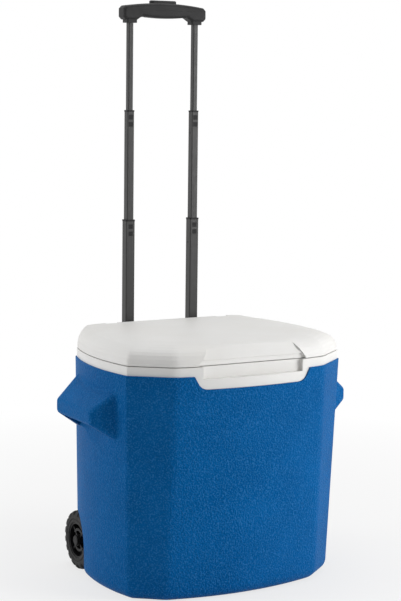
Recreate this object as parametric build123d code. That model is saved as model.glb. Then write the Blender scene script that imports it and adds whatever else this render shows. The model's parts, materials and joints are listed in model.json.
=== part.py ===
from build123d import *
import os
from math import cos, pi, radians, sin, tan

# Wheeled cooler with a three-stage pull handle. Millimetres, +Z up, x = 0 is the plane of
# symmetry, the front faces -Y, the floor is z = 0 and y = 0 is the middle of the depth.

os.makedirs("parts", exist_ok=True)

# Body outline at its top edge, right half: x, y of each corner
SHELL_TOP = 390.0
TOP_FRONT_Y = -181.98
TOP_FRONT_CORNER = (148.0, -165.0)
TOP_FRONT_CREASE = (212.7, -113.6)
TOP_SIDE_BULGE = (222.5, -27.0)
TOP_REAR_CREASE = (200.5, 109.7)
TOP_REAR_CORNER = (160.0, 150.0)

# Body outline at the floor, before its lower edge is rounded
BASE_FRONT_Y = -165.5
BASE_FRONT_CORNER = (150.0, -143.0)
BASE_FRONT_CREASE = (201.0, -103.0)
BASE_SIDE_BULGE = (215.0, -27.0)
BASE_REAR_CREASE = (196.0, 106.0)
BASE_REAR_CORNER = (158.0, 144.0)

TOP_CORNER_ROUND = 7.0
BASE_CORNER_ROUND = 24.0
FRONT_CORNER_ROUND = 40.0
LEAST_CORNER_ROUND = 3.0
BASE_ROUND = 23.0

# Walls and the layers between them
SHELL_WALL = 2.6
FOAM_GAP = 0.3
LINER_WALL = 2.5
FOAM_WALL = 36.0
FOAM_FLOOR = 44.0
WELL_FOAM = 12.0
SHELL_LEDGE = 12.0
TUB_CORNER_ROUND = 16.0
TUB_FLOOR_ROUND = 10.0
AXLE_STEP_HIGH = 85.0
AXLE_STEP_FRONT = 78.0

# White rim of the liner
RIM_INSET = 2.5
RIM_TOP = 405.2
DECK_THICKNESS = 3.0
RIM_WALL = 3.0

# Pull tab and finger recess at the front of the rim
TAB_HALF = 114.0
TAB_BOTTOM = 367.3
TAB_SLOPE = 60.0
TAB_ROUND = 20.0
TAB_SET_BACK = 3.0
TAB_GAP = 0.4
RECESS_HALF = 98.0
RECESS_FLOOR = 384.5
RECESS_DEPTH = 15.0

# Lid
LID_BOTTOM = 406.7
LID_TOP = 441.0
LID_INSET = 3.0
LID_WALL = 2.5
LID_REAR_ROUND = 9.0
LID_CORNER_ROUND = 12.0
LID_PAST_INWARD = 20.0
LID_PAST_BACK = 130.0
# Soft edge of the lid: share of its height, then how far that level lies inside the lowest one
LID_BEVEL = (
    (0.0, 0.0), (0.13, 0.2), (0.33, 1.8), (0.52, 5.0), (0.66, 9.5),
    (0.77, 15.0), (0.87, 23.0), (0.94, 33.0), (1.0, 58.0),
)
PAN_BOTTOM = 406.0
PAN_THICKNESS = 2.5
PAN_GAP = 0.2
SCOOP_BASE_HALF = 105.0
SCOOP_TOP_HALF = 87.0
SCOOP_BASE = 409.0
SCOOP_EDGE = 416.0
SCOOP_TOP = 432.0
SCOOP_LIP = 4.0
SCOOP_LEAN = 9.8
PLUG_BOTTOM = 394.0
PLUG_GAP = 2.0

# Lid hinge
HINGE_Y = 140.5
HINGE_Z = 430.0
HINGE_X = 115.0
HINGE_EAR_WIDTH = 24.0
HINGE_EAR_RADIUS = 7.0
HINGE_SIDE_GAP = 0.8
HINGE_FRONT_GAP = 1.5
HINGE_BOSS_WIDTH = 14.0
HINGE_BOSS_LOW = 416.0
HINGE_PIN_RADIUS = 2.5
HINGE_RUN_GAP = 0.08
HINGE_FIT_GAP = 0.02
EAR_PEG_RADIUS = 3.0
EAR_PEG_X = 6.0

# Moulded side handles
HANDLE_REACH = 258.0
HANDLE_ROOT = 205.0
HANDLE_Y = -1.3
HANDLE_OUTER_HALF = 68.0
HANDLE_ROOT_HALF = 90.0
HANDLE_OUTER_LOW = 303.0
HANDLE_OUTER_HIGH = 326.0
HANDLE_ROOT_LOW = 268.0
HANDLE_ROOT_HIGH = 366.0
HANDLE_ROUND = 10.0
HANDLE_ROOT_ROUND = 7.0
POCKET_HALF = 58.0
POCKET_TOP = 318.0
POCKET_FADE = 236.0
POCKET_BITE = 11.0
POCKET_TOP_REACH = 248.0
POCKET_FADE_REACH = 279.0

# Wheels, wheel wells and axle
WHEEL_RADIUS = 53.3
WHEEL_Y = 108.9
WHEEL_FACE = 199.0
WHEEL_WIDTH = 32.0
WELL_RADIUS = 60.0
WELL_GAP = 4.0
TYRE_SHOULDER = 5.0
TREAD_COUNT = 18
TREAD_NOTCH = 4.0
TREAD_DEPTH = 2.2
HUB_RADIUS = 32.5
HUB_FIT_GAP = 0.05
HUB_RIM = 3.0
HUB_INSET = 2.0
HUB_BOSS = 10.0
HUB_WEB = 5.0
HUB_RING = 21.0
HUB_RING_WIDTH = 4.5
HUB_RING_BREAK = 11.0
HUB_RIB = 3.0
HUB_MERGE = 1.0
SPOKE_COUNT = 4
AXLE_RADIUS = 4.0
AXLE_RUN_GAP = 0.08
AXLE_FIT_GAP = 0.02
AXLE_TUNNEL = 8.0
AXLE_CAP_RADIUS = 9.0
AXLE_CAP_THICKNESS = 3.5
AXLE_CAP_END = 1.0
AXLE_CAP_CHAMFER = 1.2
WASHER_RADIUS = 9.0
SIDE_PLAY = 0.3

# Pull handle: tube centres, then width, depth, bottom and top of each pair of tubes
TUBE_X = 66.8
TUBE_Y = 167.2
TUBE_WALL = 1.0
TUBE_ROUND = 2.0
GUIDE = {"width": 22.0, "depth": 21.0, "bottom": 30.0, "top": 404.0}
LOWER = {"width": 18.0, "depth": 17.0, "bottom": 362.0, "top": 622.5}
MID = {"width": 14.0, "depth": 14.0, "bottom": 588.0, "top": 821.5}
TOP = {"width": 10.0, "depth": 11.0, "bottom": 791.0, "top": 996.0}
COLLAR_FLANGE = 3.0
COLLAR_LIP = 0.5
SLIDE_GAP = 0.1
FIT_GAP = 0.05
STOP_GAP = 0.5
WINDOW_WIDTH = 9.0
WINDOW_HEIGHT = 8.5
WINDOW_DROP = 12.75
WINDOW_PITCH = 12.75
WINDOW_GAP = 0.1
TAB_SUNK = 0.05
PLUG_BLOCK = 16.0
PLUG_STUB = 14.0
PIN_RADIUS = 2.0
PIN_LENGTH = 6.0
PIN_TRAVEL = 2.5
PIN_GAP = 0.08
BORE_RUNOUT = 1.0

# Rails on the back of the body that hold the guide tubes, and their brackets
RAIL_BOTTOM = 22.0
RAIL_TOP = 388.0
RAIL_HALF = 88.0
RAIL_ROOT = 138.0
RAIL_BACK = 178.0
RAIL_ROUND = 5.0
CHANNEL_GAP = 0.4
PANEL_HALF = 46.0
PANEL_BACK = 158.0
BRACKET_BACK = 181.0
BRACKET_HALF = 92.0
BRACKET_FRONT = 153.5
TOP_BRACKET_LOW = 366.0
BOTTOM_BRACKET_HIGH = 52.0
BRACKET_GAP = 0.3
BRACKET_ROUND = 6.0
CUP_HEIGHT = 14.0
SCREW_RADIUS = 2.0
SCREW_HEAD_RADIUS = 4.0
SCREW_HEAD_HEIGHT = 2.0
SCREW_LENGTH = 14.0
SCREW_OFFSET = 16.5
SCREW_GAP = 0.1
SCREW_SLOT_HALF = 3.0
SCREW_SLOT_WIDTH = 1.0

# Grip and its release
GRIP_HALF = 85.0
GRIP_DEPTH = 26.0
GRIP_END_LOW = 986.5
GRIP_END_HIGH = 1011.5
GRIP_END_INSET = 5.0
GRIP_TOP = 1017.5
GRIP_SAG = 990.5
GRIP_ARCH_X = 46.0
GRIP_HEEL_RADIUS = 10.0
GRIP_ARCH_Z = 993.0
GRIP_SPLIT = 1004.5
GRIP_SPLIT_GAP = 0.1
GRIP_ROUND = 5.5
GRIP_CORNER_ROUND = 3.0
GRIP_OVER = 6.0
SOCKET_BOTTOM = 981.0
SOCKET_WIDTH = 21.0
SOCKET_DEPTH = 20.0
SOCKET_ROUND = 3.0
BUTTON_HALF = 27.0
BUTTON_DEPTH = 13.0
BUTTON_TOP = 1022.5
BUTTON_TRAVEL = 4.0
BUTTON_GAP = 0.4
BUTTON_FLANGE = 2.0
BUTTON_ROUND = 2.5
BAR_TOP = 1008.0
BAR_HALF = 71.0
BAR_DEPTH = 6.0
BAR_HEIGHT = 5.0
BAR_GAP = 0.4
ROD_RADIUS = 1.5
ROD_GAP = 0.3
SPRING_RADIUS = 3.0
SPRING_WIRE = 0.4
SPRING_TURNS = 4
SPRING_FLOOR = 993.6
GRIP_SCREW_X = 36.0
GRIP_SCREW_Y = 7.3
GRIP_SCREW_RADIUS = 1.5
GRIP_SCREW_HEAD = 2.7
GRIP_SCREW_SEAT = 995.5
GRIP_SCREW_TOP = 1011.0

SIDES = {"left": -1, "right": 1}
PAIRS = {"guide": (GUIDE, LOWER), "lower": (LOWER, MID), "mid": (MID, TOP)}
STAGES = {"lower": (LOWER, GUIDE), "mid": (MID, LOWER), "top": (TOP, MID)}


def blend(low, high, share):
    return low + (high - low) * share


def block(x0, x1, y0, y1, z0, z1):
    """Box between two corners."""
    centre = Pos((x0 + x1) / 2, (y0 + y1) / 2, (z0 + z1) / 2)
    return centre * Box(x1 - x0, y1 - y0, z1 - z0)


def rod_x(radius, x0, x1, y, z):
    """Round bar along X."""
    return Pos((x0 + x1) / 2, y, z) * Rot(0, 90, 0) * Cylinder(radius, x1 - x0)


def rod_y(radius, x, y0, y1, z):
    """Round bar along Y."""
    return Pos(x, (y0 + y1) / 2, z) * Rot(90, 0, 0) * Cylinder(radius, y1 - y0)


def rod_z(radius, x, y, z0, z1):
    """Round bar along Z."""
    return Pos(x, y, (z0 + z1) / 2) * Cylinder(radius, z1 - z0)


def on_side(side, shape):
    """A shape made for the right side, or its mirror image for the left."""
    return shape if side > 0 else mirror(shape, Plane.YZ)


def outline_points(share):
    """Corners of the body's outline, share of the way from the floor to its top edge."""
    names = ("FRONT_CORNER", "FRONT_CREASE", "SIDE_BULGE", "REAR_CREASE", "REAR_CORNER")
    base = (BASE_FRONT_CORNER, BASE_FRONT_CREASE, BASE_SIDE_BULGE, BASE_REAR_CREASE, BASE_REAR_CORNER)
    top = (TOP_FRONT_CORNER, TOP_FRONT_CREASE, TOP_SIDE_BULGE, TOP_REAR_CREASE, TOP_REAR_CORNER)
    return {n: (blend(b[0], t[0], share), blend(b[1], t[1], share)) for n, b, t in zip(names, base, top)}


def left_of(point):
    return (-point[0], point[1])


def round_corners(sketch, corner, front):
    """An outline with round corners, the two at the front rounder than the others."""
    sketch = fillet(sketch.vertices().sort_by(Axis.Y)[2:], corner)
    return fillet(sketch.vertices().sort_by(Axis.Y)[:2], max(front, corner))


def plan(z, inset=0.0, corner=None):
    """Closed outline of the body at height z, moved in by inset, its corners rounded."""
    share = min(max(z / SHELL_TOP, 0.0), 1.0)
    at = outline_points(share)
    front = (0.0, blend(BASE_FRONT_Y, TOP_FRONT_Y, share))
    ends, crease, bulge = at["FRONT_CORNER"], at["FRONT_CREASE"], at["SIDE_BULGE"]
    rear, back = at["REAR_CREASE"], at["REAR_CORNER"]
    edges = [
        ThreePointArc(left_of(ends), front, ends),
        Line(ends, crease),
        ThreePointArc(crease, bulge, rear),
        Line(rear, back),
        Line(back, left_of(back)),
        Line(left_of(back), left_of(rear)),
        ThreePointArc(left_of(rear), left_of(bulge), left_of(crease)),
        Line(left_of(crease), left_of(ends)),
    ]
    sketch = make_face(edges)
    if inset:
        sketch = offset(sketch, -inset, kind=Kind.INTERSECTION)
    if corner is None:
        corner = max(blend(BASE_CORNER_ROUND, TOP_CORNER_ROUND, share) - inset, LEAST_CORNER_ROUND)
    return Pos(0, 0, z) * round_corners(sketch, corner, FRONT_CORNER_ROUND - inset)


def drum(z_low, z_high, inset, corner=None):
    """Solid between two heights that follows the body's outline, moved in by inset."""
    return loft([plan(z_low, inset, corner), plan(z_high, inset, corner)], ruled=True)


def prism(inset, z0, z1, corner=None):
    """Upright solid on the outline of the body's top edge, moved in by inset."""
    face = Pos(0, 0, z0 - SHELL_TOP) * plan(SHELL_TOP, inset, corner)
    return extrude(face, z1 - z0)


def well(side, margin):
    """Space of one wheel well, grown by margin."""
    inner = WHEEL_FACE - WHEEL_WIDTH - WELL_GAP - margin
    radius = WELL_RADIUS + margin
    outer = HANDLE_REACH
    arch = rod_x(radius, inner, outer, WHEEL_Y, WHEEL_RADIUS)
    below = block(inner, outer, WHEEL_Y - radius, WHEEL_Y + radius, -radius, WHEEL_RADIUS)
    return on_side(side, arch + below)


def pocket(side, margin):
    """Finger pocket under one side handle, grown by margin; it fades out down the wall."""
    half = POCKET_HALF + margin
    wall_high = TOP_SIDE_BULGE[0] - POCKET_BITE - margin
    wall_low = TOP_SIDE_BULGE[0] - margin

    def level(x0, x1, z):
        return Pos((x0 + x1) / 2, HANDLE_Y, z) * Rectangle(x1 - x0, 2 * half)

    low = level(wall_low, POCKET_FADE_REACH, POCKET_FADE)
    high = level(wall_high, POCKET_TOP_REACH, POCKET_TOP + margin)
    return on_side(side, loft([low, high], ruled=True))


def side_handle(side):
    """Wedge-shaped lump of one side handle before its pocket is cut."""

    def section(x, half, low, high):
        plane = Plane(origin=(x, HANDLE_Y, (low + high) / 2), x_dir=(0, 1, 0), z_dir=(1, 0, 0))
        return plane * Rectangle(2 * half, high - low)

    root = section(HANDLE_ROOT, HANDLE_ROOT_HALF, HANDLE_ROOT_LOW, HANDLE_ROOT_HIGH)
    outer = section(HANDLE_REACH, HANDLE_OUTER_HALF, HANDLE_OUTER_LOW, HANDLE_OUTER_HIGH)
    lump = loft([root, outer], ruled=True)
    near = lump.faces().sort_by(Axis.X)[0].center().X
    ridges = [edge for edge in lump.edges() if edge.center().X > near + HANDLE_ROUND]
    return on_side(side, fillet(ridges, HANDLE_ROUND))


def with_handles(body):
    """The body joined to both side handles, with a soft hollow where they meet."""
    for side in SIDES.values():
        lump = side_handle(side)
        whole = body + lump
        seam = [e for e in whole.edges() if max(s.distance_to(e @ 0.5) for s in (body, lump)) < FIT_GAP]
        body = fillet(seam, HANDLE_ROOT_ROUND)
    return body


def recess_back():
    """Back wall of the finger recess."""
    return TOP_FRONT_Y + RIM_INSET + RECESS_DEPTH


def tab_shape(y0, y1, grow):
    """Front tab with sloping sides and round lower corners, from y0 to y1, grown by grow."""
    lean = tan(radians(TAB_SLOPE))
    low, high = TAB_BOTTOM - grow, SHELL_TOP + grow
    wide = TAB_HALF + grow / sin(radians(TAB_SLOPE)) + grow / lean
    narrow = wide - (high - low) / lean
    face = make_face(Polyline((-narrow, low), (narrow, low), (wide, high), (-wide, high), close=True))
    face = fillet(face.vertices().group_by(Axis.Y)[0], TAB_ROUND + grow)
    return extrude(Plane((0, y1, 0), x_dir=(1, 0, 0), z_dir=(0, -1, 0)) * face, y1 - y0)


def front_pocket(margin):
    """Space behind the notch in the body's front that the tab and the recess need."""
    half = TAB_HALF + margin
    back = recess_back() + RIM_WALL + margin
    return block(-half, half, -HANDLE_REACH, back, TAB_BOTTOM - margin, RIM_TOP)


def bracket_screw_places():
    """Centres of the screws that hold both brackets: x, z."""
    top = (RAIL_TOP + TOP_BRACKET_LOW) / 2
    low = (RAIL_BOTTOM + BOTTOM_BRACKET_HIGH) / 2
    across = [side * (TUBE_X + step * SCREW_OFFSET) for side in SIDES.values() for step in (-1, 1)]
    return [(x, z) for z in (top, low) for x in across]


def rails(margin):
    """Raised rear panel with two open channels, or its inside when margin is the wall."""
    half = RAIL_HALF - margin
    lump = block(-half, half, RAIL_ROOT, RAIL_BACK - margin, RAIL_BOTTOM + margin, RAIL_TOP - margin)
    if not margin:
        lump = fillet(lump.edges().filter_by(Axis.Z).group_by(Axis.Y)[-1], RAIL_ROUND)
    middle = PANEL_HALF + margin
    lump -= block(-middle, middle, PANEL_BACK - margin, BRACKET_BACK, 0.0, SHELL_TOP)
    half_x = GUIDE["width"] / 2 + CHANNEL_GAP + margin
    front = TUBE_Y - GUIDE["depth"] / 2 - CHANNEL_GAP - margin
    for side in SIDES.values():
        x = side * TUBE_X
        lump -= block(x - half_x, x + half_x, front, BRACKET_BACK, 0.0, SHELL_TOP)
    if margin:
        for x, z in bracket_screw_places():
            lump -= rod_y(SCREW_RADIUS + margin, x, RAIL_ROOT, BRACKET_BACK, z)
    return lump


def hollow(margin):
    """Inside of the body's wall, clear of wheel wells, pockets, notch and axle tunnel."""
    space = drum(margin, SHELL_TOP - margin, margin)
    low = space.faces().sort_by(Axis.Z)[0]
    space = fillet(low.edges(), BASE_ROUND - SHELL_WALL)
    space += rails(margin)
    for side in SIDES.values():
        space -= well(side, margin)
        space -= pocket(side, margin)
    space -= front_pocket(margin)
    space -= rod_x(AXLE_TUNNEL + margin - SHELL_WALL, -HANDLE_REACH, HANDLE_REACH, WHEEL_Y, WHEEL_RADIUS)
    return space


def tub(shrink, z_top):
    """Food space with the liner's outer skin, or its inside when shrink is the wall."""
    inset = FOAM_WALL + shrink
    floor = FOAM_FLOOR + shrink
    corner = TUB_CORNER_ROUND - shrink
    space = drum(floor, SHELL_TOP, inset, corner)
    low = space.faces().sort_by(Axis.Z)[0]
    space = fillet(low.edges(), TUB_FLOOR_ROUND - shrink)
    space += prism(inset, SHELL_TOP, z_top, corner)
    for side in SIDES.values():
        space -= well(side, WELL_FOAM + shrink)
    front = AXLE_STEP_FRONT - shrink
    return space - block(-HANDLE_REACH, HANDLE_REACH, front, BRACKET_BACK, 0.0, AXLE_STEP_HIGH + shrink)


def outer_shell():
    """Blue outer body: wall, floor, top ledge, side handles, wheel wells and rear rails."""
    body = drum(0.0, SHELL_TOP, 0.0)
    low = body.faces().sort_by(Axis.Z)[0]
    body = fillet(low.edges(), BASE_ROUND)
    body = with_handles(body)
    for side in SIDES.values():
        body -= pocket(side, 0.0)
    body += rails(0.0)
    for side in SIDES.values():
        body -= well(side, 0.0)
    body -= hollow(SHELL_WALL)
    body -= drum(SHELL_TOP - 2 * SHELL_WALL, SHELL_TOP, SHELL_LEDGE)
    body -= tab_shape(-HANDLE_REACH, recess_back() + RIM_WALL + TAB_GAP, TAB_GAP)
    body -= rod_x(AXLE_RADIUS + AXLE_FIT_GAP, -HANDLE_REACH, HANDLE_REACH, WHEEL_Y, WHEEL_RADIUS)
    for x, z in bracket_screw_places():
        body -= rod_y(SCREW_RADIUS + FIT_GAP, x, BRACKET_BACK - SCREW_LENGTH - SCREW_GAP, BRACKET_BACK, z)
    return body


def foam_core():
    """Insulation between the body and the liner."""
    return hollow(SHELL_WALL + FOAM_GAP) - tub(-FOAM_GAP, RIM_TOP)


def ear_pegs(side, margin):
    """Two pegs under a hinge ear that stand in the rim's deck, grown by margin."""
    low, high = RIM_TOP - DECK_THICKNESS, RIM_TOP + HINGE_SIDE_GAP
    across = (HINGE_X - EAR_PEG_X, HINGE_X + EAR_PEG_X)
    pegs = [rod_z(EAR_PEG_RADIUS + margin, x, HINGE_Y, low, high) for x in across]
    return on_side(side, pegs[0] + pegs[1])


def hinge_ear(side):
    """Upright ear, pegged into the rim, that holds one hinge pin."""
    x0 = HINGE_X - HINGE_EAR_WIDTH / 2
    x1 = HINGE_X + HINGE_EAR_WIDTH / 2
    ear = rod_x(HINGE_EAR_RADIUS, x0, x1, HINGE_Y, HINGE_Z)
    y0, y1 = HINGE_Y - HINGE_EAR_RADIUS, HINGE_Y + HINGE_EAR_RADIUS
    ear += block(x0, x1, y0, y1, RIM_TOP + FIT_GAP, HINGE_Z)
    ear -= rod_x(HINGE_PIN_RADIUS + HINGE_FIT_GAP, x0, x1, HINGE_Y, HINGE_Z)
    return on_side(side, ear) + ear_pegs(side, 0.0)


def liner():
    """White inner tub in one piece with the rim and the front tab."""
    body = tub(0.0, RIM_TOP)
    body += prism(RIM_INSET, SHELL_TOP, RIM_TOP) - prism(
        RIM_INSET + RIM_WALL, SHELL_TOP, RIM_TOP - DECK_THICKNESS
    )
    behind = prism(TAB_SET_BACK, TAB_BOTTOM, RIM_TOP)
    skin = behind - prism(TAB_SET_BACK + RIM_WALL, TAB_BOTTOM, RIM_TOP)
    body += skin & tab_shape(-HANDLE_REACH, recess_back(), 0.0)
    half, back = RECESS_HALF + RIM_WALL, recess_back() + RIM_WALL
    body += behind & block(-half, half, -HANDLE_REACH, back, RECESS_FLOOR - RIM_WALL, RIM_TOP)
    body -= block(-RECESS_HALF, RECESS_HALF, -HANDLE_REACH, recess_back(), RECESS_FLOOR, LID_TOP)
    body -= tub(LINER_WALL, LID_TOP)
    for side in SIDES.values():
        body -= ear_pegs(side, FIT_GAP)
    return body


def lid_plan(inset):
    """Outline of the lid's wide bevel: as the body's, but straight on past the back."""
    at = outline_points(1.0)
    ends, crease, bulge, rear = at["FRONT_CORNER"], at["FRONT_CREASE"], at["SIDE_BULGE"], at["REAR_CREASE"]
    past = (rear[0] - LID_PAST_INWARD, rear[1] + LID_PAST_BACK)
    edges = [
        ThreePointArc(left_of(ends), (0.0, TOP_FRONT_Y), ends),
        Line(ends, crease),
        ThreePointArc(crease, bulge, rear),
        Line(rear, past),
        Line(past, left_of(past)),
        Line(left_of(past), left_of(rear)),
        ThreePointArc(left_of(rear), left_of(bulge), left_of(crease)),
        Line(left_of(crease), left_of(ends)),
    ]
    sketch = offset(make_face(edges), -inset, kind=Kind.INTERSECTION)
    return round_corners(sketch, LID_CORNER_ROUND, FRONT_CORNER_ROUND - inset)


def rear_cut(inset, z0, z1):
    """Upright solid that ends at the lid's straight back and its two rear chamfers."""
    crease, corner = TOP_REAR_CREASE, TOP_REAR_CORNER
    past = (2 * crease[0] - corner[0], 2 * crease[1] - corner[1])
    far = (HANDLE_REACH, -HANDLE_REACH)
    right = [far, (far[0], past[1]), past, crease, corner]
    outline = Polyline(right + [left_of(point) for point in reversed(right)], close=True)
    sketch = offset(make_face(outline), -inset, kind=Kind.INTERSECTION)
    corners = [v for v in sketch.vertices() if v.Y > past[1] + inset and abs(v.X) < crease[0] - inset]
    return extrude(Pos(0, 0, z0) * fillet(corners, TOP_CORNER_ROUND), z1 - z0)


def rear_round(drop):
    """Waste above the rounded top edge at the lid's back."""
    radius = LID_REAR_ROUND - drop
    y = TOP_REAR_CORNER[1] - LID_INSET - drop - radius
    z = LID_TOP - drop - radius
    waste = block(-HANDLE_REACH, HANDLE_REACH, y, BRACKET_BACK, z, LID_TOP + radius)
    return waste - rod_x(radius, -HANDLE_REACH, HANDLE_REACH, y, z)


def lid_form(drop):
    """Outside of the lid, or the inside of its skin when drop is the wall."""
    rise = LID_TOP - LID_BOTTOM - drop
    levels = [(LID_BOTTOM + rise * share, moved) for share, moved in LID_BEVEL]
    if drop:
        levels[0] = (PAN_BOTTOM, 0.0)
    sections = [Pos(0, 0, z) * lid_plan(LID_INSET + drop + moved) for z, moved in levels]
    cut = rear_cut(LID_INSET + drop, PAN_BOTTOM - drop, LID_TOP + drop + RIM_INSET)
    return (loft(sections, ruled=True) & cut) - rear_round(drop)


def scoop(margin):
    """Finger scoop in the front of the lid, grown by margin."""
    base = SCOOP_BASE_HALF + margin
    slant = (SCOOP_BASE_HALF - SCOOP_TOP_HALF) / (SCOOP_TOP - SCOOP_BASE)
    over = LID_TOP + margin
    top = base - slant * (over - SCOOP_BASE)
    front = Plane(origin=(0, -HANDLE_REACH, 0), x_dir=(1, 0, 0), z_dir=(0, 1, 0))
    outline = Polyline(
        (-base, -PAN_BOTTOM), (-base, -SCOOP_BASE), (-top, -over),
        (top, -over), (base, -SCOOP_BASE), (base, -PAN_BOTTOM),
        close=True,
    )
    across = extrude(front * make_face(outline), HANDLE_REACH)
    back = recess_back() + margin
    edge = SCOOP_EDGE + margin
    lip = back - SCOOP_LIP
    lean = SCOOP_LEAN * (over - edge) / (SCOOP_TOP - SCOOP_EDGE)
    side = Plane(origin=(-HANDLE_REACH, 0, 0), x_dir=(0, 1, 0), z_dir=(1, 0, 0))
    profile = Polyline(
        (-HANDLE_REACH, PAN_BOTTOM), (back, PAN_BOTTOM), (back, edge),
        (lip, edge), (lip + lean, over), (-HANDLE_REACH, over),
        close=True,
    )
    return across & extrude(side * make_face(profile), 2 * HANDLE_REACH)


def hinge_notch(side):
    """Gap in the lid's back edge for one hinge ear."""
    half = HINGE_EAR_WIDTH / 2 + HINGE_SIDE_GAP
    front = HINGE_Y - HINGE_EAR_RADIUS - HINGE_FRONT_GAP
    return on_side(side, block(HINGE_X - half, HINGE_X + half, front, BRACKET_BACK, RIM_TOP, LID_TOP))


def hinge_boss(side, margin):
    """Solid blocks of the lid's skin on both sides of a hinge ear, grown by margin."""
    half = HINGE_EAR_WIDTH / 2 + HINGE_SIDE_GAP + HINGE_BOSS_WIDTH + margin
    notch = HINGE_EAR_WIDTH / 2 + HINGE_SIDE_GAP + LID_WALL + margin
    front = HINGE_Y - HINGE_EAR_RADIUS - HINGE_FRONT_GAP - LID_WALL - margin
    boss = block(HINGE_X - half, HINGE_X + half, front, BRACKET_BACK, HINGE_BOSS_LOW - margin, LID_TOP)
    boss += block(HINGE_X - notch, HINGE_X + notch, front, BRACKET_BACK, RIM_TOP, LID_TOP)
    return on_side(side, boss)


def lid_space(margin):
    """Room inside the lid's skin, kept clear of it by margin."""
    space = lid_form(LID_WALL + margin) - scoop(LID_WALL + margin)
    for side in SIDES.values():
        space -= hinge_boss(side, margin)
    return space


def lid_top():
    """White outer skin of the lid with its front scoop and hinge bosses."""
    skin = lid_form(0.0) - scoop(0.0) - lid_space(0.0)
    for side in SIDES.values():
        skin -= hinge_notch(side)
        half = HINGE_EAR_WIDTH / 2 + HINGE_SIDE_GAP + HINGE_BOSS_WIDTH - LID_WALL
        bore = rod_x(HINGE_PIN_RADIUS + HINGE_RUN_GAP, HINGE_X - half, HINGE_X + half, HINGE_Y, HINGE_Z)
        skin -= on_side(side, bore)
    return skin


def plug_form(shrink, top):
    """Part of the lid that reaches into the tub's mouth."""
    inset = FOAM_WALL + LINER_WALL + PLUG_GAP + shrink
    return prism(inset, PLUG_BOTTOM + shrink, top, TUB_CORNER_ROUND - LINER_WALL - PLUG_GAP - shrink)


def lid_pan():
    """White tray that closes the lid from below."""
    top = PAN_BOTTOM + PAN_THICKNESS
    slab = block(-HANDLE_REACH, HANDLE_REACH, -HANDLE_REACH, BRACKET_BACK, PAN_BOTTOM, top)
    tray = lid_space(PAN_GAP) & slab
    return tray + plug_form(0.0, top) - plug_form(PAN_THICKNESS, top)


def lid_foam():
    """Insulation inside the lid."""
    low = PAN_BOTTOM + PAN_THICKNESS + FOAM_GAP
    slab = block(-HANDLE_REACH, HANDLE_REACH, -HANDLE_REACH, BRACKET_BACK, low, LID_TOP)
    return (lid_space(FOAM_GAP) & slab) + plug_form(PAN_THICKNESS + FOAM_GAP, low)


def hinge_pins():
    """Two steel hinge pins."""
    half = HINGE_EAR_WIDTH / 2 + HINGE_SIDE_GAP + HINGE_BOSS_WIDTH - LID_WALL - HINGE_SIDE_GAP
    pin = rod_x(HINGE_PIN_RADIUS, HINGE_X - half, HINGE_X + half, HINGE_Y, HINGE_Z)
    return Compound(children=[pin, mirror(pin, Plane.YZ)])


def tyre(side):
    """Rubber tyre with notched tread."""
    inner = WHEEL_FACE - WHEEL_WIDTH
    ring = rod_x(WHEEL_RADIUS, inner, WHEEL_FACE, WHEEL_Y, WHEEL_RADIUS)
    ring = fillet(ring.edges().filter_by(GeomType.CIRCLE), TYRE_SHOULDER)
    for step in range(TREAD_COUNT):
        turn = 2 * pi * (step + 0.5) / TREAD_COUNT - pi / 2
        reach = WHEEL_RADIUS + TREAD_NOTCH - TREAD_DEPTH
        y = WHEEL_Y + reach * cos(turn)
        z = WHEEL_RADIUS + reach * sin(turn)
        ring -= rod_x(TREAD_NOTCH, inner, WHEEL_FACE, y, z)
    ring -= rod_x(HUB_RADIUS + HUB_FIT_GAP, inner, WHEEL_FACE, WHEEL_Y, WHEEL_RADIUS)
    return on_side(side, ring)


def hub(side):
    """Plastic wheel hub: rim, web, boss, four spokes and two raised crescents."""
    inner = WHEEL_FACE - WHEEL_WIDTH + HUB_INSET
    outer = WHEEL_FACE - HUB_INSET
    middle = (inner + outer) / 2

    def ring(r_out, r_in, x0, x1):
        return rod_x(r_out, x0, x1, WHEEL_Y, WHEEL_RADIUS) - rod_x(r_in, x0, x1, WHEEL_Y, WHEEL_RADIUS)

    wheel = ring(HUB_RADIUS, HUB_RADIUS - HUB_RIM, inner, outer)
    inside = HUB_RADIUS - HUB_MERGE
    wheel += rod_x(inside, middle - HUB_WEB / 2, middle + HUB_WEB / 2, WHEEL_Y, WHEEL_RADIUS)
    raised = ring(HUB_RING, HUB_RING - HUB_RING_WIDTH, middle, outer - HUB_RIM)
    y, z, reach = WHEEL_Y, WHEEL_RADIUS, HUB_RADIUS
    raised -= block(0, HANDLE_REACH, y - reach, y + reach, z - HUB_RING_BREAK, z + HUB_RING_BREAK)
    wheel += raised
    for step in range(SPOKE_COUNT):
        spoke = block(inner + HUB_RIM, outer - HUB_RIM, -HUB_RIB / 2, HUB_RIB / 2, 0, inside)
        wheel += Pos(0, WHEEL_Y, WHEEL_RADIUS) * Rot(45 + 360 * step / SPOKE_COUNT, 0, 0) * spoke
    boss_in = WHEEL_FACE - WHEEL_WIDTH
    wheel += rod_x(HUB_BOSS, boss_in, outer, WHEEL_Y, WHEEL_RADIUS)
    wheel -= rod_x(AXLE_RADIUS + AXLE_RUN_GAP, boss_in, outer, WHEEL_Y, WHEEL_RADIUS)
    return on_side(side, wheel)


def axle_end():
    return WHEEL_FACE - HUB_INSET + SIDE_PLAY + AXLE_CAP_THICKNESS - AXLE_CAP_END


def axle():
    """Steel axle through the body."""
    return rod_x(AXLE_RADIUS, -axle_end(), axle_end(), WHEEL_Y, WHEEL_RADIUS)


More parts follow.
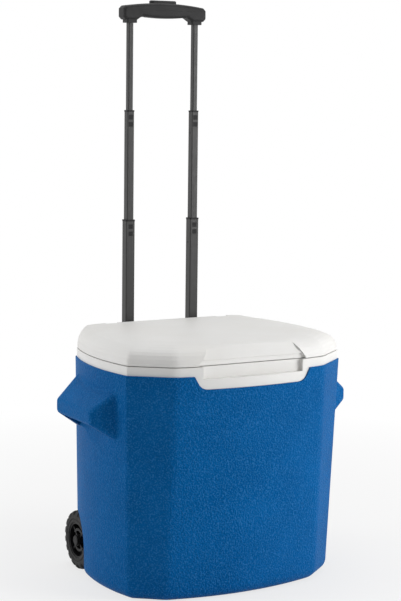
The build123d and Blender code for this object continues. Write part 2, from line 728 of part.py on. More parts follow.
def axle_cap(side):
    """Push-on cap that keeps a wheel on the axle."""
    x0 = WHEEL_FACE - HUB_INSET + SIDE_PLAY
    cap = rod_x(AXLE_CAP_RADIUS, x0, x0 + AXLE_CAP_THICKNESS, WHEEL_Y, WHEEL_RADIUS)
    cap = chamfer(cap.edges().sort_by(Axis.X)[-1:], AXLE_CAP_CHAMFER)
    return on_side(side, cap - rod_x(AXLE_RADIUS + AXLE_FIT_GAP, x0, axle_end(), WHEEL_Y, WHEEL_RADIUS))


def wheel_washers():
    """Spacers between the wells' inner walls and the wheels."""
    well_wall = WHEEL_FACE - WHEEL_WIDTH - WELL_GAP
    x0, x1 = well_wall + FIT_GAP, WHEEL_FACE - WHEEL_WIDTH - SIDE_PLAY
    ring = rod_x(WASHER_RADIUS, x0, x1, WHEEL_Y, WHEEL_RADIUS)
    ring -= rod_x(AXLE_RADIUS + AXLE_FIT_GAP, x0, x1, WHEEL_Y, WHEEL_RADIUS)
    return Compound(children=[ring, mirror(ring, Plane.YZ)])


def bar(width, depth, radius, z0, z1):
    """Upright bar of rounded rectangular section on the right-hand tube's centre."""
    return extrude(Pos(TUBE_X, TUBE_Y, z0) * RectangleRounded(width, depth, radius), z1 - z0)


def bore_of(tube):
    """Width and depth inside a tube."""
    return tube["width"] - 2 * TUBE_WALL, tube["depth"] - 2 * TUBE_WALL


def window(tube, step, y0, grow):
    """One square window in a tube's front wall from y0 inwards, or the tab in it when grow is negative."""
    z = tube["top"] + COLLAR_FLANGE - WINDOW_DROP - step * WINDOW_PITCH
    half = WINDOW_WIDTH / 2 + grow
    high = WINDOW_HEIGHT / 2 + grow
    y1 = tube_front(tube) + TUBE_WALL + FIT_GAP
    return block(TUBE_X - half, TUBE_X + half, y0, y1, z - high, z + high)


def tube_front(tube):
    return TUBE_Y - tube["depth"] / 2


def catch_height(inner):
    """Height of the lock pin in the plug of an inner tube."""
    return inner["bottom"] - PLUG_BLOCK / 2


def tube(side, size, inner=None):
    """One tube; a tube that holds another has two windows and a lock hole."""
    inside_w, inside_d = bore_of(size)
    body = bar(size["width"], size["depth"], TUBE_ROUND, size["bottom"], size["top"])
    body -= bar(inside_w, inside_d, TUBE_ROUND - TUBE_WALL, size["bottom"], size["top"])
    if inner:
        for step in range(2):
            body -= window(size, step, tube_front(size) - TUBE_WALL, 0.0)
        x = TUBE_X - size["width"] / 2
        body -= rod_x(PIN_RADIUS + FIT_GAP, x - TUBE_WALL, x + 2 * TUBE_WALL, TUBE_Y, catch_height(inner))
    return on_side(side, body)


def collar(side, outer, inner):
    """Guide collar in the top of an outer tube: flange, sleeve and two snap tabs."""
    wide, deep = bore_of(outer)
    hole_w, hole_d = inner["width"] + 2 * SLIDE_GAP, inner["depth"] + 2 * SLIDE_GAP
    top = outer["top"] + COLLAR_FLANGE
    low = inner["bottom"] + STOP_GAP
    body = bar(wide - 2 * FIT_GAP, deep - 2 * FIT_GAP, TUBE_ROUND - TUBE_WALL, low, outer["top"])
    for step in range(2):
        body += window(outer, step, tube_front(outer) + TAB_SUNK, -WINDOW_GAP)
    flange_w, flange_d = outer["width"] + 2 * COLLAR_LIP, outer["depth"] + 2 * COLLAR_LIP
    body += bar(flange_w, flange_d, TUBE_ROUND + COLLAR_LIP, outer["top"], top)
    body -= bar(hole_w, hole_d, TUBE_ROUND + SLIDE_GAP, low, top)
    return on_side(side, body)


def plug_half_width(outer):
    return bore_of(outer)[0] / 2 - SLIDE_GAP


def tube_plug(side, size, outer):
    """Slider plug in the bottom of a tube, with the lock pin's bore."""
    wide, deep = bore_of(outer)
    inside_w, inside_d = bore_of(size)
    low = size["bottom"] - PLUG_BLOCK
    body = bar(wide - 2 * SLIDE_GAP, deep - 2 * SLIDE_GAP, TUBE_ROUND - TUBE_WALL, low, size["bottom"])
    top = size["bottom"] + PLUG_STUB
    stub_w, stub_d = inside_w - 2 * FIT_GAP, inside_d - 2 * FIT_GAP
    body += bar(stub_w, stub_d, TUBE_ROUND - TUBE_WALL - FIT_GAP, size["bottom"], top)
    x = TUBE_X - plug_half_width(outer)
    depth = PIN_LENGTH + PIN_TRAVEL + STOP_GAP
    body -= rod_x(PIN_RADIUS + PIN_GAP, x - BORE_RUNOUT, x + depth, TUBE_Y, catch_height(size))
    body -= rod_z(ROD_RADIUS + ROD_GAP, TUBE_X, TUBE_Y, catch_height(size), top)
    return on_side(side, body)


def lock_pin(side, size, outer):
    """Lock pin in a slider plug, its nose level with the plug's face."""
    x = TUBE_X - plug_half_width(outer)
    return on_side(side, rod_x(PIN_RADIUS, x, x + PIN_LENGTH, TUBE_Y, catch_height(size)))


def catches(outer, inner):
    """Closed catches in the lock holes of a pair of outer tubes, level with the walls."""
    x = TUBE_X - outer["width"] / 2
    disc = rod_x(PIN_RADIUS, x + TAB_SUNK, x + TUBE_WALL - TAB_SUNK, TUBE_Y, catch_height(inner))
    return Compound(children=[disc, mirror(disc, Plane.YZ)])


def bracket_holes(body):
    """Cut the screw holes and head seats of a bracket."""
    for x, z in bracket_screw_places():
        body -= rod_y(SCREW_RADIUS + SCREW_GAP, x, RAIL_ROOT, BRACKET_BACK, z)
        body -= rod_y(SCREW_HEAD_RADIUS + SCREW_GAP, x, BRACKET_BACK - SCREW_HEAD_HEIGHT, BRACKET_BACK, z)
    return body


def back_plate(z0, z1):
    plate = block(-BRACKET_HALF, BRACKET_HALF, RAIL_BACK, BRACKET_BACK, z0, z1)
    return fillet(plate.edges().filter_by(Axis.Y), BRACKET_ROUND)


def trolley_top_bracket():
    """Black bracket over the rails that holds both guide tubes at the top."""
    body = back_plate(TOP_BRACKET_LOW, GUIDE["top"])
    body += block(-RAIL_HALF, RAIL_HALF, BRACKET_FRONT, RAIL_BACK, RAIL_TOP + BRACKET_GAP, GUIDE["top"])
    wide, deep = GUIDE["width"] + 2 * FIT_GAP, GUIDE["depth"] + 2 * FIT_GAP
    for side in SIDES.values():
        body -= on_side(side, bar(wide, deep, TUBE_ROUND + FIT_GAP, RAIL_TOP, GUIDE["top"]))
    return bracket_holes(body)


def trolley_bottom_bracket():
    """Black bracket whose stubs hold both guide tubes at the bottom."""
    body = back_plate(RAIL_BOTTOM, BOTTOM_BRACKET_HIGH)
    inside_w, inside_d = bore_of(GUIDE)
    for side in SIDES.values():
        x0, x1 = TUBE_X - GUIDE["width"] / 2, TUBE_X + GUIDE["width"] / 2
        pad = block(x0, x1, TUBE_Y - GUIDE["depth"] / 2, RAIL_BACK, RAIL_BOTTOM, GUIDE["bottom"])
        wide, deep = inside_w - 2 * FIT_GAP, inside_d - 2 * FIT_GAP
        radius = TUBE_ROUND - TUBE_WALL - FIT_GAP
        stub = bar(wide, deep, radius, GUIDE["bottom"], GUIDE["bottom"] + CUP_HEIGHT)
        body += on_side(side, pad + stub)
    return bracket_holes(body)


def cross_slot(x, z):
    """Cross-shaped recess in a screw's head."""
    y0, y1 = BRACKET_BACK - SCREW_HEAD_HEIGHT / 2, BRACKET_BACK
    wide, narrow = SCREW_SLOT_HALF, SCREW_SLOT_WIDTH / 2
    slot = block(x - wide, x + wide, y0, y1, z - narrow, z + narrow)
    return slot + block(x - narrow, x + narrow, y0, y1, z - wide, z + wide)


def bracket_screws():
    """Pan-head screws of both brackets."""
    screws = []
    for x, z in bracket_screw_places():
        shank = rod_y(SCREW_RADIUS, x, BRACKET_BACK - SCREW_LENGTH, BRACKET_BACK - SCREW_HEAD_HEIGHT, z)
        head = rod_y(SCREW_HEAD_RADIUS, x, BRACKET_BACK - SCREW_HEAD_HEIGHT, BRACKET_BACK, z)
        slot = cross_slot(x, z)
        screws.append(shank + head - slot)
    return Compound(children=screws)


def grip_form():
    """Outside of the grip: arched bar with a socket for each tube."""
    low, high = GRIP_END_LOW, GRIP_END_HIGH
    arch = (GRIP_ARCH_X, GRIP_ARCH_Z)
    heel = (TUBE_X - SOCKET_WIDTH / 2, low)
    toe = (GRIP_HALF - GRIP_END_INSET, low)
    end_low = (GRIP_HALF, low + GRIP_END_INSET)
    end_high = (GRIP_HALF, high - GRIP_END_INSET)
    crown = (GRIP_HALF - GRIP_END_INSET, high)
    corners = [arch, heel, toe, end_low, end_high, crown]
    right = [Line(start, end) for start, end in zip(corners, corners[1:])]
    left = [mirror(edge, Plane.YZ) for edge in right]
    middle = [
        ThreePointArc(left_of(arch), (0, GRIP_SAG), arch),
        ThreePointArc(crown, (0, GRIP_TOP), left_of(crown)),
    ]
    face = make_face(right + left + middle)
    face = fillet(face.vertices(), GRIP_CORNER_ROUND)
    plane = Plane(origin=(0, TUBE_Y, 0), x_dir=(1, 0, 0), z_dir=(0, -1, 0))
    form = extrude(plane * face, GRIP_DEPTH / 2, both=True)
    form = fillet(form.faces().filter_by(Axis.Y).edges(), GRIP_ROUND)
    for side in SIDES.values():
        form += on_side(side, bar(SOCKET_WIDTH, SOCKET_DEPTH, SOCKET_ROUND, SOCKET_BOTTOM, GRIP_ARCH_Z))
        form += on_side(side, grip_heel(heel[0]))
    return form


def grip_heel(x):
    """Hollow-curved web between the arch and one socket, whose inner wall is at x."""
    y0, y1 = TUBE_Y - SOCKET_DEPTH / 2 + SOCKET_ROUND, TUBE_Y + SOCKET_DEPTH / 2 - SOCKET_ROUND
    centre_z = GRIP_ARCH_Z - GRIP_HEEL_RADIUS
    web = block(x - GRIP_HEEL_RADIUS, x + SOCKET_ROUND, y0, y1, centre_z, GRIP_ARCH_Z)
    return web - rod_y(GRIP_HEEL_RADIUS, x - GRIP_HEEL_RADIUS, y0, y1, centre_z)


def bar_bottom():
    return BAR_TOP - BAR_HEIGHT


def grip_cuts():
    """Spaces inside the grip for the tubes, the release and the screws."""
    half = BAR_DEPTH / 2 + BAR_GAP
    low = bar_bottom() - BUTTON_TRAVEL - BAR_GAP
    reach = BAR_HALF + BAR_GAP
    cuts = block(-reach, reach, TUBE_Y - half, TUBE_Y + half, low, BAR_TOP + BAR_GAP)
    flange = BUTTON_FLANGE + BUTTON_GAP
    half_x, half_y = BUTTON_HALF + flange, BUTTON_DEPTH / 2 + flange
    under = BAR_TOP - BUTTON_TRAVEL - BUTTON_GAP
    cuts += block(-half_x, half_x, TUBE_Y - half_y, TUBE_Y + half_y, under, BAR_TOP + flange)
    cuts += button_pill(BUTTON_GAP, BAR_TOP, GRIP_TOP + GRIP_OVER)
    cuts += rod_z(SPRING_RADIUS + SPRING_WIRE + BAR_GAP, 0, TUBE_Y, SPRING_FLOOR, low)
    wide, deep = TOP["width"] + 2 * FIT_GAP, TOP["depth"] + 2 * FIT_GAP
    for side in SIDES.values():
        cuts += on_side(side, bar(wide, deep, TUBE_ROUND + FIT_GAP, SOCKET_BOTTOM, TOP["top"]))
        cuts += rod_z(ROD_RADIUS + ROD_GAP, side * TUBE_X, TUBE_Y, TOP["top"], low)
        x, y = side * GRIP_SCREW_X, TUBE_Y + GRIP_SCREW_Y
        cuts += rod_z(GRIP_SCREW_RADIUS + FIT_GAP, x, y, GRIP_SCREW_SEAT, GRIP_SCREW_TOP + FIT_GAP)
        cuts += rod_z(GRIP_SCREW_HEAD + SCREW_GAP, x, y, SOCKET_BOTTOM, GRIP_SCREW_SEAT)
    return cuts


def button_pill(grow, z0, z1):
    """Round-ended bar of the release button."""
    face = SlotOverall(2 * (BUTTON_HALF + grow), BUTTON_DEPTH + 2 * grow)
    return extrude(Pos(0, TUBE_Y, z0) * face, z1 - z0)


def grip_half(upper):
    """Upper or lower moulding of the grip."""
    form = grip_form() - grip_cuts()
    over, under = GRIP_TOP + GRIP_OVER, SOCKET_BOTTOM - GRIP_OVER
    z0, z1 = (GRIP_SPLIT, over) if upper else (under, GRIP_SPLIT - GRIP_SPLIT_GAP)
    return form & block(-GRIP_HALF, GRIP_HALF, TUBE_Y - GRIP_DEPTH, TUBE_Y + GRIP_DEPTH, z0, z1)


def grip_screws():
    """Screws that join the grip's halves."""
    screws = []
    for side in SIDES.values():
        x, y = side * GRIP_SCREW_X, TUBE_Y + GRIP_SCREW_Y
        shank = rod_z(GRIP_SCREW_RADIUS, x, y, GRIP_SCREW_SEAT, GRIP_SCREW_TOP)
        head = rod_z(GRIP_SCREW_HEAD, x, y, GRIP_SCREW_SEAT - SCREW_HEAD_HEIGHT, GRIP_SCREW_SEAT)
        screws.append(shank + head)
    return Compound(children=screws)


def release_button():
    """Push button in the top of the grip."""
    pill = button_pill(0.0, BAR_TOP, BUTTON_TOP)
    pill = fillet(pill.faces().sort_by(Axis.Z)[-1].edges(), BUTTON_ROUND)
    half_y = BUTTON_DEPTH / 2 + BUTTON_FLANGE
    half_x = BUTTON_HALF + BUTTON_FLANGE
    return pill + block(-half_x, half_x, TUBE_Y - half_y, TUBE_Y + half_y, BAR_TOP, BAR_TOP + BUTTON_FLANGE)


def release_bar():
    """Cross bar under the button."""
    half = BAR_DEPTH / 2
    return block(-BAR_HALF, BAR_HALF, TUBE_Y - half, TUBE_Y + half, bar_bottom(), BAR_TOP)


def release_rod(side):
    """Rod that runs down inside a top tube to its lock pin."""
    low = catch_height(TOP) + PIN_RADIUS + PIN_GAP + BUTTON_TRAVEL + STOP_GAP
    return on_side(side, rod_z(ROD_RADIUS, TUBE_X, TUBE_Y, low, bar_bottom()))


def button_spring():
    """Coil spring under the release bar."""
    low = SPRING_FLOOR + SPRING_WIRE
    rise = bar_bottom() - SPRING_WIRE - low
    path = Helix(pitch=rise / SPRING_TURNS, height=rise, radius=SPRING_RADIUS)
    wire = Plane(origin=path @ 0, z_dir=path % 0) * Circle(SPRING_WIRE)
    return Pos(0, TUBE_Y, low) * sweep(wire, path=path, is_frenet=True)


def build_parts():
    """Every node of the cooler by name."""
    parts = {
        "outer_shell": outer_shell(),
        "foam_core": foam_core(),
        "liner": liner(),
        "lid_top": lid_top(),
        "lid_pan": lid_pan(),
        "lid_foam": lid_foam(),
        "hinge_pins": hinge_pins(),
        "axle": axle(),
        "wheel_washers": wheel_washers(),
        "trolley_top_bracket": trolley_top_bracket(),
        "trolley_bottom_bracket": trolley_bottom_bracket(),
        "bracket_screws": bracket_screws(),
        "grip_upper": grip_half(True),
        "grip_lower": grip_half(False),
        "grip_screws": grip_screws(),
        "release_button": release_button(),
        "release_bar": release_bar(),
        "button_spring": button_spring(),
        "top_tube_left": tube(-1, TOP),
        "top_tube_right": tube(1, TOP),
    }
    for name, side in SIDES.items():
        parts["hinge_ear_" + name] = hinge_ear(side)
        parts["tyre_" + name] = tyre(side)
        parts["wheel_hub_" + name] = hub(side)
        parts["axle_cap_" + name] = axle_cap(side)
        parts["release_rod_" + name] = release_rod(side)
        for stage, (outer, inner) in PAIRS.items():
            parts[stage + "_tube_" + name] = tube(side, outer, inner)
            parts[stage + "_collar_" + name] = collar(side, outer, inner)
        for stage, (size, outer) in STAGES.items():
            parts[stage + "_plug_" + name] = tube_plug(side, size, outer)
            parts[stage + "_lock_pin_" + name] = lock_pin(side, size, outer)
    for stage, (outer, inner) in PAIRS.items():
        parts[stage + "_catches"] = catches(outer, inner)
    return parts


if __name__ == "__main__":
    for node, shape in build_parts().items():
        export_step(shape, "parts/" + node + ".step")
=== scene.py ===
import json
import math

import bpy
from mathutils import Matrix, Vector


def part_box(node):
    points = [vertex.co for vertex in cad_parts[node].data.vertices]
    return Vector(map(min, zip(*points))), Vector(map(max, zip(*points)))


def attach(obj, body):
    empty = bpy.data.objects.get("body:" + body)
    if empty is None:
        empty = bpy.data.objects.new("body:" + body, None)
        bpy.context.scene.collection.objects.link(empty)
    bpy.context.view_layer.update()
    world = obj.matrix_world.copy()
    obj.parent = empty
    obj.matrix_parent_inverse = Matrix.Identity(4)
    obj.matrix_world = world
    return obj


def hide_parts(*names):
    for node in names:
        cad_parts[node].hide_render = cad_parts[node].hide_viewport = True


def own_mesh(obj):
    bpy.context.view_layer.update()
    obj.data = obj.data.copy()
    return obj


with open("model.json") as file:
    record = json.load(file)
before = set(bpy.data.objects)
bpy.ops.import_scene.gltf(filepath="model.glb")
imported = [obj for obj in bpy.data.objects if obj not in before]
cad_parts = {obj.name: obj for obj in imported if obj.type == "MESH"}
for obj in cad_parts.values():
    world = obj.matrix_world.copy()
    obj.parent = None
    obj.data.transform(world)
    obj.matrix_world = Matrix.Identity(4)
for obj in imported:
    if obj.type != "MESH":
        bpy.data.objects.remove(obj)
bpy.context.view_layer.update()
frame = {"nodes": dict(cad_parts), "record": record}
nodes = frame["nodes"]

# Camera of the photograph, in metres and degrees
CAMERA_AT = (-1.4224, -2.4904, 0.8582)
CAMERA_YAW = 29.59
CAMERA_PITCH = 7.28
CAMERA_ROLL = 0.70
CAMERA_LENS = 97.65
CAMERA_SENSOR = 36.0

# Colours in linear light
BLUE = (0.0022, 0.117, 0.366)
BLUE_DEEP = (0.0016, 0.099, 0.316)
# Lighter, greyed blue of the specks on the grain: a painted glint
BLUE_PAINTED_GLINT = (0.034, 0.196, 0.490)
BLUE_SHEEN = (0.45, 0.70, 1.0)
WHITE = (0.86, 0.855, 0.84)
WHITE_WARM = (0.83, 0.82, 0.795)
TUBE = (0.021, 0.021, 0.021)
TUBE_LIGHT = (0.034, 0.034, 0.033)
TUBE_SCUFF = (0.10, 0.10, 0.10)
GRIP = (0.012, 0.012, 0.0125)
BLACK = (0.014, 0.014, 0.015)
RUBBER = (0.026, 0.026, 0.026)
RUBBER_DUST = (0.046, 0.045, 0.043)
HUB = (0.0045, 0.0045, 0.0050)
CATCH = (0.004, 0.004, 0.0045)
SCREW = (0.03, 0.03, 0.032)
STEEL = (0.55, 0.55, 0.56)
FOAM = (0.82, 0.76, 0.52)
FOAM_DEEP = (0.70, 0.62, 0.40)
FLOOR = (0.86, 0.86, 0.86)

# Nodes that are darker than the rest of their slot, by a word in their name
DARK_NODES = ("_catches", "_collar_", "axle_cap_")

# The range in which most of a noise lies
MIDDLE = (0.3, 0.7)

# Tyre tread: lugs round the tyre, points per lug, the groove's depth in metres and its shares of the pitch
LUG_COUNT = 18
LUG_STEPS = 16
GROOVE_DEPTH = 0.0028
GROOVE_HALF = 0.17
GROOVE_FLANK = 0.07
GROOVE_LEAN = 0.7
SHARP_ANGLE = 38.0

# Tyre side in metres: inset from the side face and height over the bore
SIDEWALL = (
    (0.0010, 0.0), (0.0002, 0.0010), (0.0002, 0.0040),
    (0.0012, 0.0047), (0.0012, 0.0060), (0.0002, 0.0068),
)

# Tyre shoulder in metres: inset from the side face, drop under the tread and the grooves' reach
SHOULDER = (
    (0.0, 0.0085, 0.15), (0.0004, 0.0062, 0.7), (0.0016, 0.0034, 0.95),
    (0.0038, 0.0012, 1.0), (0.0068, 0.0003, 1.0),
)

# The flat middle of the tread, as a share of the tyre's width
CROWN = 0.25

# Floor fade in metres, and the world's strength as a light
FLOOR_SIZE = 200.0
FLOOR_NEAR = 0.35
FLOOR_FAR = 1.5
FLOOR_LIFT = 0.72
WORLD_LIGHT = 0.24

# Lamps: name, place, aim and size in metres, power in watts
LAMPS = (
    ("key_right", (1.5, -1.55, 0.9), (0.0, 0.0, 0.25), (1.1, 1.3), 31.0),
    ("side_left", (-2.1, 0.9, 0.9), (0.0, 0.0, 0.25), (1.0, 1.3), 20.0),
    ("top", (0.2, 0.3, 2.7), (0.0, 0.0, 0.4), (1.6, 1.6), 22.0),
)


def add(tree, kind, **values):
    """A node with its properties and plain inputs set."""
    node = tree.nodes.new(kind)
    for name, value in values.items():
        if hasattr(node, name):
            setattr(node, name, value)
        else:
            node.inputs[name].default_value = value
    return node


def material(name, colour, roughness, specular=0.5, metallic=0.0):
    """A principled material; returns it with its tree and shader."""
    made = bpy.data.materials.new(name)
    made.use_nodes = True
    tree = made.node_tree
    shader = tree.nodes["Principled BSDF"]
    shader.inputs["Base Color"].default_value = (*colour, 1.0)
    shader.inputs["Roughness"].default_value = roughness
    shader.inputs["Specular IOR Level"].default_value = specular
    shader.inputs["Metallic"].default_value = metallic
    return made, tree, shader


def place(tree, scale=(1.0, 1.0, 1.0)):
    """Object coordinates in metres, stretched by scale."""
    coords = add(tree, "ShaderNodeTexCoord")
    mapping = add(tree, "ShaderNodeMapping", Scale=scale)
    tree.links.new(coords.outputs["Object"], mapping.inputs["Vector"])
    return mapping.outputs["Vector"]


def noise(tree, vector, size, detail=2.0, roughness=0.5):
    """Noise whose features are about size metres wide."""
    texture = add(tree, "ShaderNodeTexNoise", Scale=1.0 / size, Detail=detail, Roughness=roughness)
    tree.links.new(vector, texture.inputs["Vector"])
    return texture.outputs["Fac"]


def cells(tree, vector, size, smooth=0.6):
    """Rounded pebbles about size metres wide."""
    texture = add(tree, "ShaderNodeTexVoronoi", feature="SMOOTH_F1", Scale=1.0 / size, Smoothness=smooth)
    tree.links.new(vector, texture.inputs["Vector"])
    return texture.outputs["Distance"]


def ramp(tree, value, low, high, to_low=0.0, to_high=1.0):
    """Value between low and high, spread over a new range."""
    node = add(tree, "ShaderNodeMapRange")
    for name, number in zip(("From Min", "From Max", "To Min", "To Max"), (low, high, to_low, to_high)):
        node.inputs[name].default_value = number
    tree.links.new(value, node.inputs["Value"])
    return node.outputs["Result"]


def mix_colour(tree, share, first, second):
    """Colour between two, each a tuple or a socket."""
    node = add(tree, "ShaderNodeMix", data_type="RGBA")
    tree.links.new(share, node.inputs["Factor"])
    for socket, colour in ((node.inputs[6], first), (node.inputs[7], second)):
        if isinstance(colour, tuple):
            socket.default_value = (*colour, 1.0)
        else:
            tree.links.new(colour, socket)
    return node.outputs[2]


def combine(tree, first, second, operation="ADD"):
    """Sum, or another operation, of two values."""
    node = add(tree, "ShaderNodeMath", operation=operation)
    for socket, value in zip(node.inputs, (first, second)):
        if isinstance(value, float):
            socket.default_value = value
        else:
            tree.links.new(value, socket)
    return node.outputs[0]


def tint(tree, shader, share, first, second):
    """Base colour between two."""
    tree.links.new(mix_colour(tree, share, first, second), shader.inputs["Base Color"])


def polish(tree, shader, texture, smoothest, roughest):
    """Roughness that follows a texture."""
    tree.links.new(ramp(tree, texture, *MIDDLE, smoothest, roughest), shader.inputs["Roughness"])


def bump(tree, shader, height, depth):
    """Relief of the given depth in metres."""
    node = add(tree, "ShaderNodeBump", Strength=1.0, Distance=depth)
    tree.links.new(height, node.inputs["Height"])
    tree.links.new(node.outputs["Normal"], shader.inputs["Normal"])


def blue_plastic():
    """Pebbled blue with painted glints: lighter specks painted on its grain."""
    made, tree, shader = material("blue_pebbled", BLUE, 0.48, specular=0.03)
    shader.inputs["Specular Tint"].default_value = (*BLUE_SHEEN, 1.0)
    here = place(tree)
    pebbles = cells(tree, here, size=0.0034)
    grain = noise(tree, here, size=0.0026)
    broad = noise(tree, here, size=0.09)
    height = combine(tree, combine(tree, pebbles, 0.8, "MULTIPLY"), grain)
    shade = mix_colour(tree, ramp(tree, broad, *MIDDLE), BLUE_DEEP, BLUE)
    # Lighter specks on the grain are painted glints, a painted highlight in the base colour
    tint(tree, shader, ramp(tree, grain, 0.49, 0.66, to_high=0.60), shade, BLUE_PAINTED_GLINT)
    polish(tree, shader, grain, 0.38, 0.54)
    bump(tree, shader, height, depth=0.0015)
    return made


def white_lid():
    """White with a fine pebble."""
    made, tree, shader = material("white_lid", WHITE, 0.5, specular=0.4)
    here = place(tree)
    grain = cells(tree, here, size=0.0016)
    soft = noise(tree, here, size=0.0026, detail=3.0)
    broad = noise(tree, here, size=0.12)
    tint(tree, shader, ramp(tree, broad, *MIDDLE), WHITE_WARM, WHITE)
    polish(tree, shader, soft, 0.44, 0.6)
    bump(tree, shader, combine(tree, grain, soft), depth=0.00018)
    return made


def white_rim():
    """Smooth white with a faint orange peel."""
    made, tree, shader = material("white_smooth", WHITE, 0.34, specular=0.5)
    here = place(tree)
    broad = noise(tree, here, size=0.10)
    peel = noise(tree, here, size=0.008, detail=1.0)
    tint(tree, shader, ramp(tree, broad, *MIDDLE), WHITE_WARM, WHITE)
    polish(tree, shader, peel, 0.30, 0.40)
    bump(tree, shader, peel, depth=0.00006)
    return made


def tube_metal():
    """Satin black paint with lines along the tube and scuffs."""
    made, tree, shader = material("tube_satin_black", TUBE, 0.36, specular=0.31)
    lines = noise(tree, place(tree, (1.0, 1.0, 0.004)), size=0.0006, detail=3.0)
    scuffs = noise(tree, place(tree), size=0.012, detail=6.0, roughness=0.65)
    tone = mix_colour(tree, ramp(tree, lines, *MIDDLE), TUBE, TUBE_LIGHT)
    tint(tree, shader, ramp(tree, scuffs, 0.62, 0.80, to_high=0.4), tone, TUBE_SCUFF)
    polish(tree, shader, scuffs, 0.30, 0.44)
    bump(tree, shader, lines, depth=0.00005)
    return made


def dark_plastic(name, colour, roughness, grain=0.0012, depth=0.00012, specular=0.45):
    """Dark moulded plastic with a fine grain."""
    made, tree, shader = material(name, colour, roughness, specular=specular)
    here = place(tree)
    fine = noise(tree, here, size=grain, detail=4.0, roughness=0.6)
    broad = noise(tree, here, size=0.03, detail=3.0)
    lighter = tuple(min(1.0, channel * 1.5 + 0.004) for channel in colour)
    tint(tree, shader, ramp(tree, broad, *MIDDLE), colour, lighter)
    polish(tree, shader, fine, roughness - 0.07, roughness + 0.07)
    bump(tree, shader, fine, depth)
    return made


def rubber():
    """Matt rubber with dust in patches."""
    made, tree, shader = material("tyre_rubber", RUBBER, 0.72, specular=0.25)
    here = place(tree)
    fine = noise(tree, here, size=0.0014, detail=5.0, roughness=0.65)
    dust = noise(tree, here, size=0.02, detail=4.0)
    tint(tree, shader, ramp(tree, dust, 0.45, 0.75, to_high=0.5), RUBBER, RUBBER_DUST)
    polish(tree, shader, fine, 0.64, 0.80)
    bump(tree, shader, fine, depth=0.00020)
    return made


def metal():
    """Bright zinc with lines along x."""
    made, tree, shader = material("zinc_steel", STEEL, 0.32, metallic=1.0)
    lines = noise(tree, place(tree, (0.05, 1.0, 1.0)), size=0.0004, detail=3.0)
    polish(tree, shader, lines, 0.26, 0.42)
    bump(tree, shader, lines, depth=0.00002)
    return made


def foam():
    """Closed-cell insulation."""
    made, tree, shader = material("insulation", FOAM, 0.9, specular=0.2)
    holes = cells(tree, place(tree), size=0.0012)
    tint(tree, shader, ramp(tree, holes, 0.2, 0.8), FOAM, FOAM_DEEP)
    bump(tree, shader, holes, depth=0.0004)
    return made


finishes = {
    "blue_shell": blue_plastic(),
    "foam": foam(),
    "white_plastic": white_lid(),
    "liner_white": white_rim(),
    "black_plastic": dark_plastic("black_plastic", BLACK, 0.46),
    "grip_plastic": dark_plastic("grip_plastic", GRIP, 0.58, grain=0.0010, specular=0.26),
    "handle_tube": tube_metal(),
    "tyre": rubber(),
    "hub": dark_plastic("hub_plastic", HUB, 0.46, specular=0.22),
    "steel": metal(),
    "dark_screw": dark_plastic("dark_screw", SCREW, 0.36, grain=0.0006, depth=0.00004),
}
darker = dark_plastic("catch_black", CATCH, 0.5, specular=0.2)

for part in frame["record"]["subparts"]:
    dark = any(word in part["node"] for word in DARK_NODES)
    for slot in nodes[part["node"]].material_slots:
        slot.material = darker if dark else finishes[part["material_slot"]]


def groove(share):
    """Depth of the tread's cut, 0 to 1, at a share of the pitch from the middle of a groove."""
    off = min(share, 1.0 - share)
    return min(1.0, max(0.0, (GROOVE_HALF + GROOVE_FLANK - off) / GROOVE_FLANK))


def tyre_section(half, bore, tread):
    """Section of a tyre, from one bore edge over the tread to the other: x, radius and the grooves' reach."""
    near = [(half - inset, bore + up, 0.0) for inset, up in SIDEWALL]
    near += [(half - inset, tread - drop, reach) for inset, drop, reach in SHOULDER]
    near.append((half * CROWN, tread, 1.0))
    return near + [(-x, radius, reach) for x, radius, reach in reversed(near)]


def tyre(side):
    """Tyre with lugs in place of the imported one, between its hub and its own outer radius."""
    low, high = (Vector(corner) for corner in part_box("tyre_" + side))
    hub_low, hub_high = (Vector(corner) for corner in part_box("wheel_hub_" + side))
    middle, size = (low + high) / 2, high - low
    section = tyre_section(size.x / 2, (hub_high.z - hub_low.z) / 2, size.z / 2)
    steps, row = LUG_COUNT * LUG_STEPS, len(section)
    points = []
    for step in range(steps):
        turn = 2 * math.pi * (step / steps + 0.5 / LUG_COUNT) - math.pi / 2
        cut = groove(step / LUG_STEPS % 1.0) * GROOVE_DEPTH
        for x, radius, reach in section:
            x *= 1.0 - GROOVE_LEAN * cut * reach / (size.x / 2)
            radius -= cut * reach
            points.append(middle + Vector((x, radius * math.cos(turn), radius * math.sin(turn))))
    faces = []
    for here, after in ((step * row, (step + 1) % steps * row) for step in range(steps)):
        for k in range(row):
            after_k = (k + 1) % row
            faces.append((here + k, here + after_k, after + after_k, after + k))
    mesh = bpy.data.meshes.new("tyre_" + side + "_tread")
    mesh.from_pydata(points, [], faces)
    mesh.shade_smooth()
    mesh.set_sharp_from_angle(angle=math.radians(SHARP_ANGLE))
    mesh.materials.append(finishes["tyre"])
    made = bpy.data.objects.new(mesh.name, mesh)
    bpy.context.collection.objects.link(made)
    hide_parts("tyre_" + side)
    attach(made, "wheel_" + side)


def return_spring():
    """The button's spring, as its own copy on the grip."""
    node = nodes["button_spring"]
    made = bpy.data.objects.new("return_spring", node.data.copy())
    bpy.context.collection.objects.link(made)
    made.matrix_world = node.matrix_world
    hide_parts("button_spring")
    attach(made, "grip")
    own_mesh(made)


tyre("left")
tyre("right")
return_spring()


def seen_rays(tree):
    """1 for camera, glossy and transmission rays."""
    rays = add(tree, "ShaderNodeLightPath")
    gloss = combine(tree, rays.outputs["Is Camera Ray"], rays.outputs["Is Glossy Ray"], "MAXIMUM")
    return combine(tree, gloss, rays.outputs["Is Transmission Ray"], "MAXIMUM")


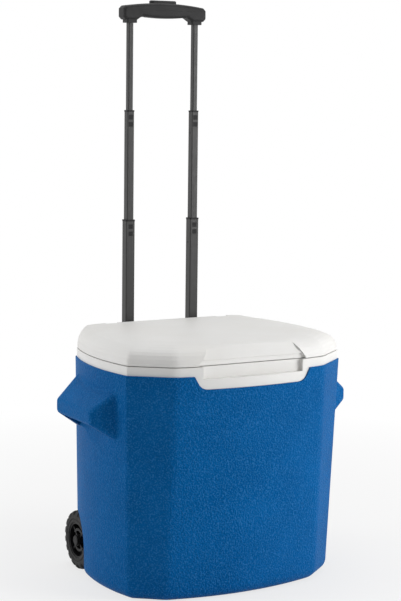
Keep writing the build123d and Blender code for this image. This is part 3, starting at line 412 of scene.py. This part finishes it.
def pale_floor():
    """Pale floor: it keeps the shadow near the object and fades to white farther out."""
    made, tree, shader = material("pale_floor", FLOOR, 0.9, specular=0.1)
    white = add(tree, "ShaderNodeEmission", Strength=1.0)
    far = add(tree, "ShaderNodeVectorMath", operation="LENGTH")
    tree.links.new(place(tree), far.inputs[0])
    fade = ramp(tree, far.outputs["Value"], FLOOR_NEAR, FLOOR_FAR, FLOOR_LIFT, 1.0)
    mix = add(tree, "ShaderNodeMixShader")
    tree.links.new(combine(tree, fade, seen_rays(tree), "MULTIPLY"), mix.inputs[0])
    tree.links.new(shader.outputs[0], mix.inputs[1])
    tree.links.new(white.outputs[0], mix.inputs[2])
    tree.links.new(mix.outputs[0], tree.nodes["Material Output"].inputs["Surface"])
    return made


bpy.ops.mesh.primitive_plane_add(size=FLOOR_SIZE, location=(0.0, 0.0, 0.0))
floor = bpy.context.object
floor.name = "floor"
floor.data.materials.append(pale_floor())

# White world, dimmer as a light than as it is seen
world = bpy.data.worlds.new("studio")
bpy.context.scene.world = world
world.use_nodes = True
sky = world.node_tree
background = sky.nodes["Background"]
background.inputs["Color"].default_value = (1.0, 1.0, 1.0, 1.0)
level = ramp(sky, seen_rays(sky), 0.0, 1.0, WORLD_LIGHT, 1.0)
sky.links.new(level, background.inputs["Strength"])


def softbox(name, at, aim, size, power):
    """Rectangular lamp at a place, turned to a point."""
    lamp = bpy.data.lights.new(name, "AREA")
    lamp.shape = "RECTANGLE"
    lamp.size, lamp.size_y = size
    lamp.energy = power
    holder = bpy.data.objects.new(name, lamp)
    bpy.context.collection.objects.link(holder)
    holder.location = at
    holder.rotation_mode = "QUATERNION"
    holder.rotation_quaternion = (Vector(aim) - Vector(at)).to_track_quat("-Z", "Y")


for lamp_values in LAMPS:
    softbox(*lamp_values)

# Camera
yaw, pitch, roll = (math.radians(angle) for angle in (CAMERA_YAW, CAMERA_PITCH, CAMERA_ROLL))
ahead = Vector((math.sin(yaw) * math.cos(pitch), math.cos(yaw) * math.cos(pitch), -math.sin(pitch)))
right = Vector((math.cos(yaw), -math.sin(yaw), 0.0))
above = right.cross(ahead)
across = right * math.cos(roll) + above * math.sin(roll)
upward = above * math.cos(roll) - right * math.sin(roll)
lens = bpy.data.cameras.new("photo_camera")
lens.sensor_fit = "AUTO"
lens.sensor_width = CAMERA_SENSOR
lens.lens = CAMERA_LENS
camera = bpy.data.objects.new("photo_camera", lens)
bpy.context.collection.objects.link(camera)
camera.matrix_world = Matrix.Translation(CAMERA_AT) @ Matrix((across, upward, -ahead)).transposed().to_4x4()
bpy.context.scene.camera = camera
bpy.context.scene.view_settings.view_transform = "Standard"
